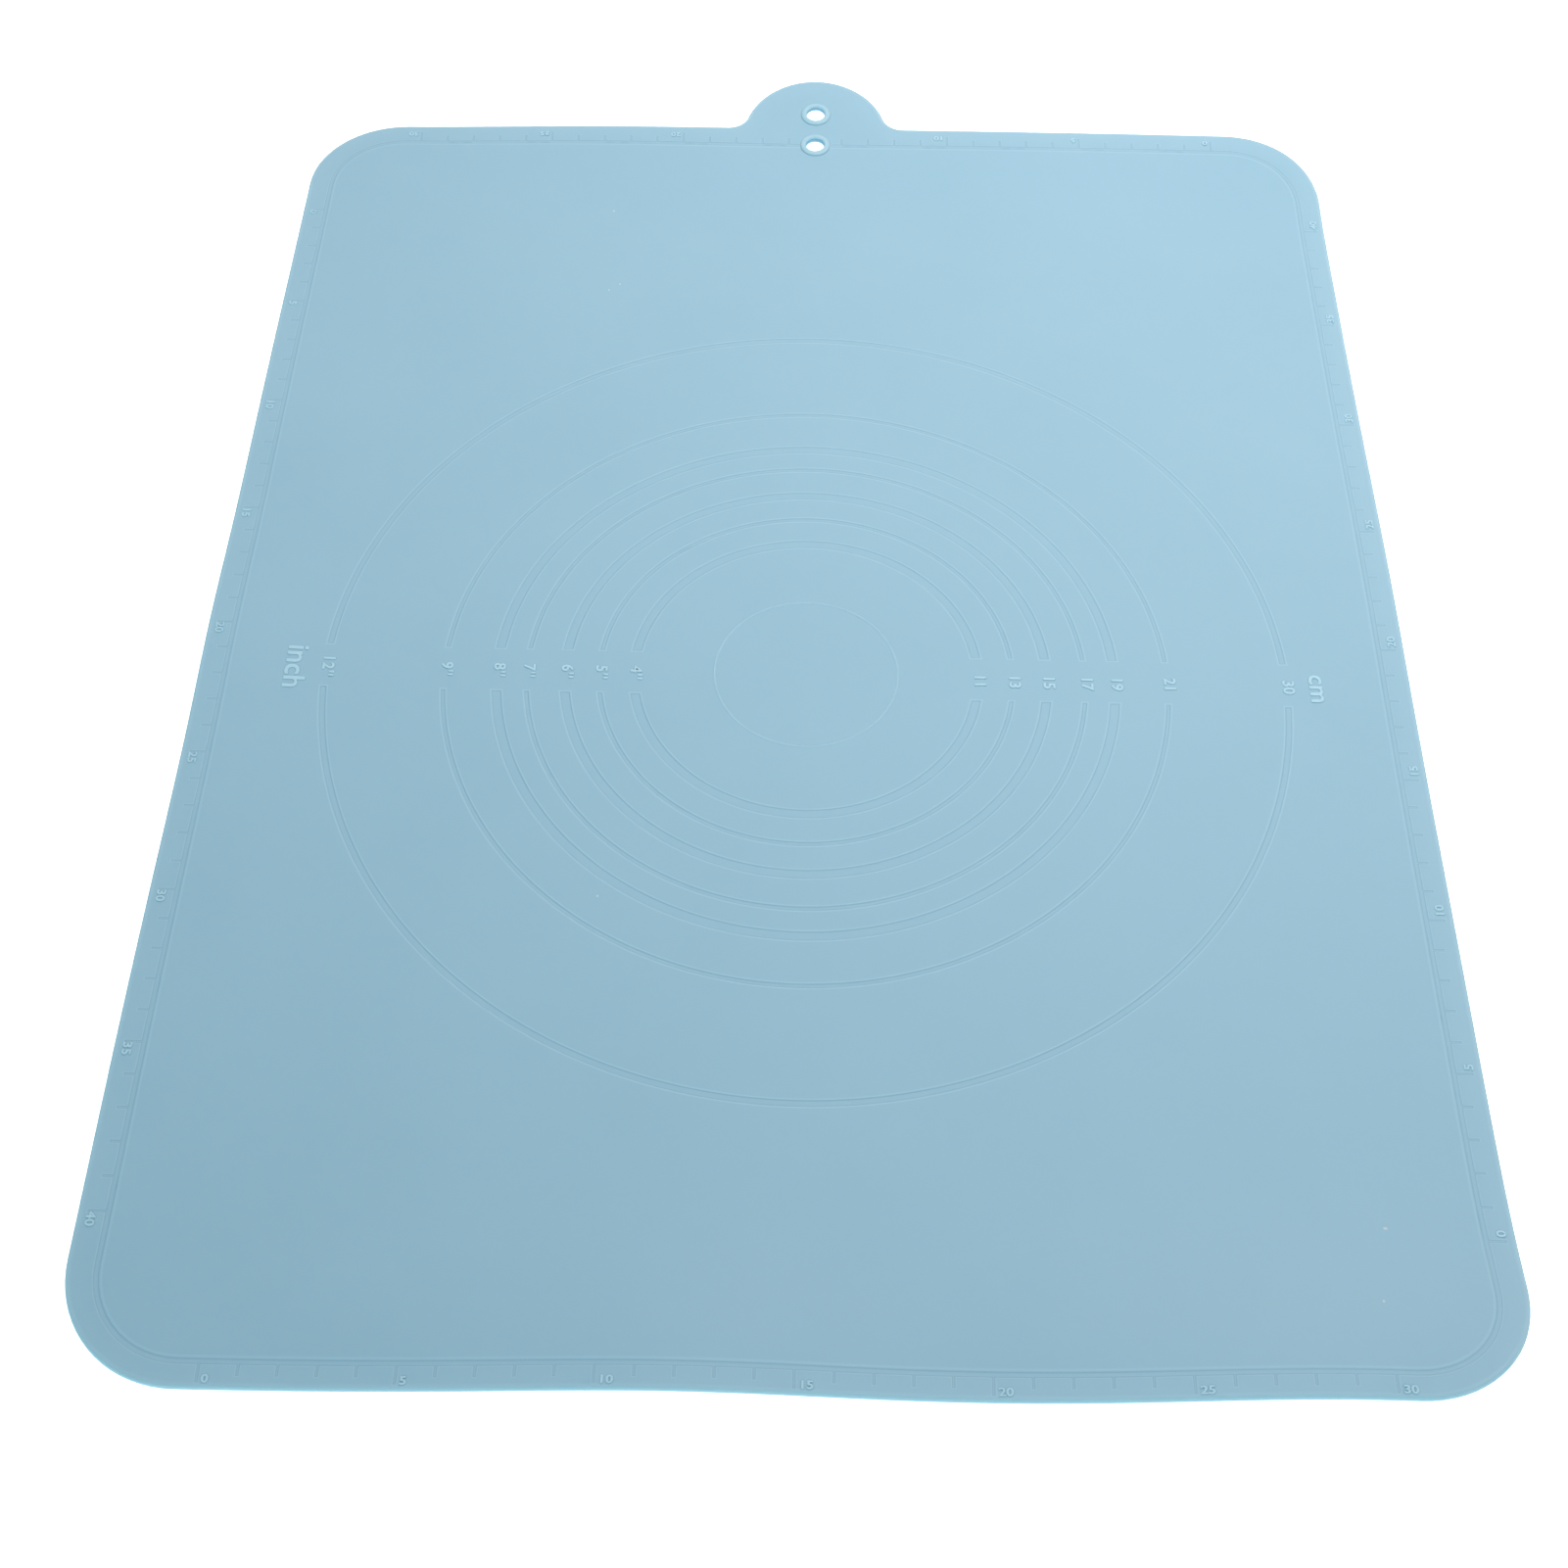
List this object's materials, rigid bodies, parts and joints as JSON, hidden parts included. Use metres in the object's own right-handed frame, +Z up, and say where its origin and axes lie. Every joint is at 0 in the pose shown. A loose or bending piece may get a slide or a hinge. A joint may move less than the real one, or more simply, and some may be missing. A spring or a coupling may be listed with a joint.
{
  "type": "silicone baking mat",
  "caption": "Flat moulded silicone baking and pastry mat with rounded corners, centimetre border ruler, concentric dough circles and a hanging tab with ring-edged holes.",
  "frame": {"origin": "centre of the dough circles on the underside of the flat mat", "axes": "+Z up out of the marked face, +Y along the length towards the hanging tab, +X to the right along the near edge"},
  "size_m": [0.378, 0.5206, 0.0022],
  "materials": {
    "silicone": "matt, slightly translucent moulded silicone, pale blue"
  },
  "bodies": {
    "root": {"mat_sheet": "silicone", "lower_eyelet_rim": "silicone", "upper_eyelet_rim": "silicone"}
  },
  "joints": []
}
